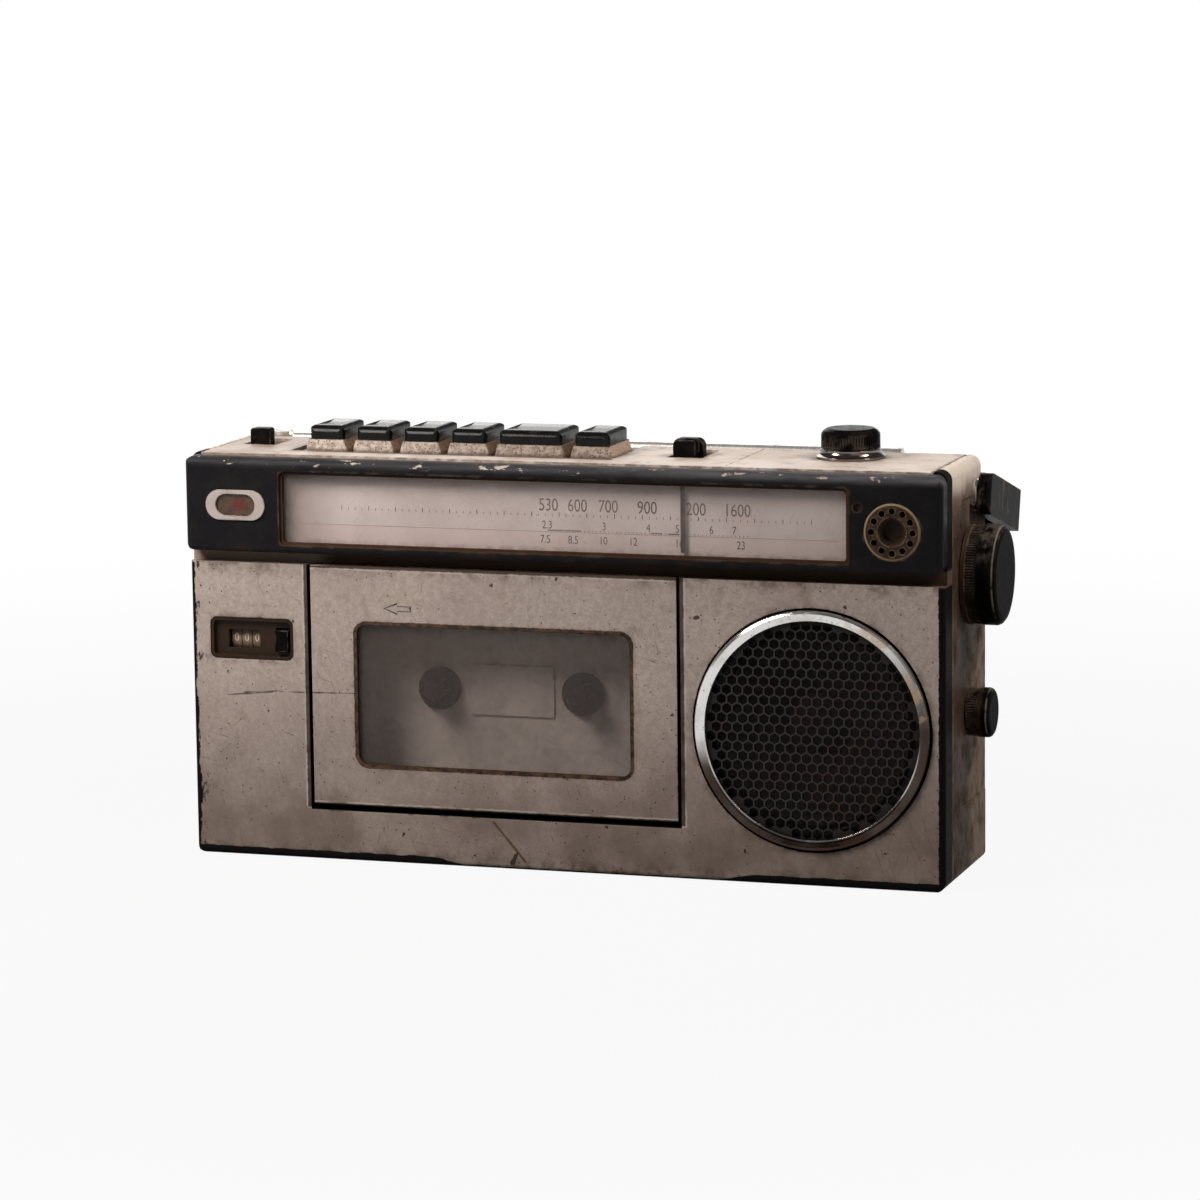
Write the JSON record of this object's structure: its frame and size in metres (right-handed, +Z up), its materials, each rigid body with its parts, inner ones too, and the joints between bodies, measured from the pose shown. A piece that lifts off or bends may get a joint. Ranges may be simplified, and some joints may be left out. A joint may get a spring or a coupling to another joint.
{
  "type": "radio cassette player",
  "caption": "Flat portable radio cassette player with a dial band, tilting cassette door, round speaker grille, piano keys, tuning knob at the side and a folding handle.",
  "frame": {"origin": "middle of the flat underside that the player stands on", "axes": "+X to the right as seen from the front, +Y to the back, +Z up"},
  "size_m": [0.2346, 0.0748, 0.1234],
  "materials": {
    "silver_paint": "aged silver paint over black plastic",
    "black_plastic": "worn satin black moulding",
    "ivory_paint": "aged light paint",
    "case_grey": "grimy warm grey moulding",
    "key_two_tone": "black cap over a light skirt",
    "chrome": "bright plating",
    "steel": "plain zinc plated sheet",
    "clear": "clear acrylic, slightly yellowed",
    "scale_print": "printed card",
    "white_plastic": "white moulding",
    "smoke_brown": "brown translucent plastic",
    "lamp_red": "red lamp body",
    "deck_grey": "pinkish grey moulding",
    "paper": "dark speaker paper",
    "rubber": "black rubber",
    "board": "phenolic board",
    "brass": "turned brass"
  },
  "bodies": {
    "cabinet": {"front_cabinet": "silver_paint", "rear_cabinet": "case_grey", "band_bezel": "black_plastic", "top_plate": "ivory_paint", "key_bracket": "steel", "slide_switches": "steel", "volume_ring": "chrome", "tuning_capacitor": "white_plastic", "control_pots": "steel", "dial_window": "clear", "dial_scale": "scale_print", "pointer_rail": "steel", "indicator_frame": "white_plastic", "indicator_window": "smoke_brown", "indicator_lamp": "lamp_red", "mic_bezel": "black_plastic", "mic_capsule": "steel", "speaker_ring": "chrome", "speaker_grille": "black_plastic", "speaker_frame": "steel", "speaker_cone": "paper", "deck_plate": "deck_grey", "chassis_plate": "steel", "motor": "steel", "drive_belt": "rubber", "counter_housing": "black_plastic", "circuit_board": "board", "battery_contacts": "steel", "handle_pivots": "chrome", "jack_block": "black_plastic", "cabinet_screws": "steel"},
    "door": {"cassette_door": "silver_paint", "door_window": "clear", "cassette_carrier": "steel"},
    "bridge": {"head_bridge": "steel", "tape_heads": "steel"},
    "roller": {"pinch_roller": "rubber"},
    "takeup": {"reel_takeup": "black_plastic"},
    "supply": {"reel_supply": "black_plastic"},
    "wheel": {"flywheel": "steel"},
    "pulley": {"motor_pulley": "brass"},
    "counter": {"counter_wheels": "white_plastic"},
    "reset": {"reset_button": "black_plastic"},
    "flap": {"battery_door": "case_grey"},
    "carry": {"handle": "black_plastic"},
    "swivel": {"antenna_base": "chrome"},
    "tube": {"antenna_tube": "chrome"},
    "rod": {"antenna_rod": "chrome"},
    "function": {"function_knob": "black_plastic"},
    "bands": {"band_knob": "black_plastic"},
    "volume": {"volume_knob": "black_plastic"},
    "tuning": {"tuning_knob": "black_plastic"},
    "tone": {"tone_knob": "black_plastic"},
    "pointer": {"dial_pointer": "black_plastic"},
    "key_pause_body": {"key_pause": "key_two_tone"},
    "key_stop_body": {"key_stop": "key_two_tone"},
    "key_forward_body": {"key_forward": "key_two_tone"},
    "key_rewind_body": {"key_rewind": "key_two_tone"},
    "key_play_body": {"key_play": "key_two_tone"},
    "key_record_body": {"key_record": "key_two_tone"}
  },
  "joints": [
    {"name": "door_tilt", "type": "hinge", "parent": "cabinet", "child": "door", "pos_m": [-0.0196, -0.0205, 0.0182], "axis": [1, 0, 0], "range_deg": [0, 28]},
    {"name": "bridge_slide", "type": "slide", "parent": "cabinet", "child": "bridge", "axis": [0, 0, -1], "range_m": [0, 0.006]},
    {"name": "roller_spin", "type": "hinge", "parent": "bridge", "child": "roller", "pos_m": [-0.0391, -0.006, 0.08875], "axis": [0, 1, 0], "continuous": true},
    {"name": "takeup_spin", "type": "hinge", "parent": "cabinet", "child": "takeup", "pos_m": [-0.04085, -0.006, 0.0477], "axis": [0, 1, 0], "continuous": true},
    {"name": "supply_spin", "type": "hinge", "parent": "cabinet", "child": "supply", "pos_m": [0.00165, -0.006, 0.0477], "axis": [0, 1, 0], "continuous": true},
    {"name": "flywheel_spin", "type": "hinge", "parent": "cabinet", "child": "wheel", "pos_m": [-0.0391, -0.006, 0.0762], "axis": [0, 1, 0], "continuous": true},
    {"name": "pulley_spin", "type": "hinge", "parent": "cabinet", "child": "pulley", "pos_m": [-0.091, -0.006, 0.0448], "axis": [0, 1, 0], "continuous": true},
    {"name": "counter_spin", "type": "hinge", "parent": "cabinet", "child": "counter", "pos_m": [-0.0896, -0.0146, 0.06205], "axis": [1, 0, 0], "continuous": true},
    {"name": "reset_push", "type": "slide", "parent": "cabinet", "child": "reset", "axis": [0, 1, 0], "range_m": [0, 0.0018], "stiffness_N_per_m": 250, "springref_m": -0.0008},
    {"name": "flap_swing", "type": "hinge", "parent": "cabinet", "child": "flap", "pos_m": [0, 0.0242, 0.0066], "axis": [-1, 0, 0], "range_deg": [0, 95]},
    {"name": "handle_swing", "type": "hinge", "parent": "cabinet", "child": "carry", "pos_m": [0, 0.011, 0.105], "axis": [1, 0, 0], "range_deg": [0, 110]},
    {"name": "antenna_turn", "type": "hinge", "parent": "cabinet", "child": "swivel", "pos_m": [-0.0985, 0.022, 0.1138], "axis": [0, 0, 1], "range_deg": [0, 100]},
    {"name": "antenna_raise", "type": "hinge", "parent": "swivel", "child": "tube", "pos_m": [-0.0985, 0.022, 0.1138], "axis": [0, -1, 0], "range_deg": [0, 90]},
    {"name": "antenna_pull", "type": "slide", "parent": "tube", "child": "rod", "axis": [1, 0, 0], "range_m": [0, 0.14]},
    {"name": "function_slide", "type": "slide", "parent": "cabinet", "child": "function", "axis": [0, 1, 0], "range_m": [0, 0.0026]},
    {"name": "band_slide", "type": "slide", "parent": "cabinet", "child": "bands", "axis": [0, 1, 0], "range_m": [0, 0.007]},
    {"name": "volume_turn", "type": "hinge", "parent": "cabinet", "child": "volume", "pos_m": [0.0762, 0.0047, 0.1138], "axis": [0, 0, 1], "range_deg": [-150, 150]},
    {"name": "tuning_turn", "type": "hinge", "parent": "cabinet", "child": "tuning", "pos_m": [0.1095, 0.006, 0.0837], "axis": [1, 0, 0], "range_deg": [-400, 160]},
    {"name": "tone_turn", "type": "hinge", "parent": "cabinet", "child": "tone", "pos_m": [0.1095, 0.0065, 0.0452], "axis": [1, 0, 0], "range_deg": [-150, 150]},
    {"name": "pointer_slide", "type": "slide", "parent": "cabinet", "child": "pointer", "axis": [1, 0, 0], "range_m": [-0.105, 0.042]},
    {"name": "pause_press", "type": "slide", "parent": "cabinet", "child": "key_pause_body", "axis": [0, 0, -1], "range_m": [0, 0.004], "stiffness_N_per_m": 300, "springref_m": -0.0012},
    {"name": "stop_press", "type": "slide", "parent": "cabinet", "child": "key_stop_body", "axis": [0, 0, -1], "range_m": [0, 0.004], "stiffness_N_per_m": 300, "springref_m": -0.0012},
    {"name": "forward_press", "type": "slide", "parent": "cabinet", "child": "key_forward_body", "axis": [0, 0, -1], "range_m": [0, 0.004], "stiffness_N_per_m": 300, "springref_m": -0.0012},
    {"name": "rewind_press", "type": "slide", "parent": "cabinet", "child": "key_rewind_body", "axis": [0, 0, -1], "range_m": [0, 0.004], "stiffness_N_per_m": 300, "springref_m": -0.0012},
    {"name": "play_press", "type": "slide", "parent": "cabinet", "child": "key_play_body", "axis": [0, 0, -1], "range_m": [0, 0.004], "stiffness_N_per_m": 300, "springref_m": -0.0012},
    {"name": "record_press", "type": "slide", "parent": "cabinet", "child": "key_record_body", "axis": [0, 0, -1], "range_m": [0, 0.004], "stiffness_N_per_m": 300, "springref_m": -0.0012}
  ],
  "couplings": [
    {"joint": "bridge_slide", "follows": "play_press", "ratio": 1.5},
    {"joint": "pulley_spin", "follows": "flywheel_spin", "ratio": 4.75},
    {"joint": "counter_spin", "follows": "takeup_spin", "ratio": 0.5},
    {"joint": "pointer_slide", "follows": "tuning_turn", "m_per_rad": 0.015}
  ]
}
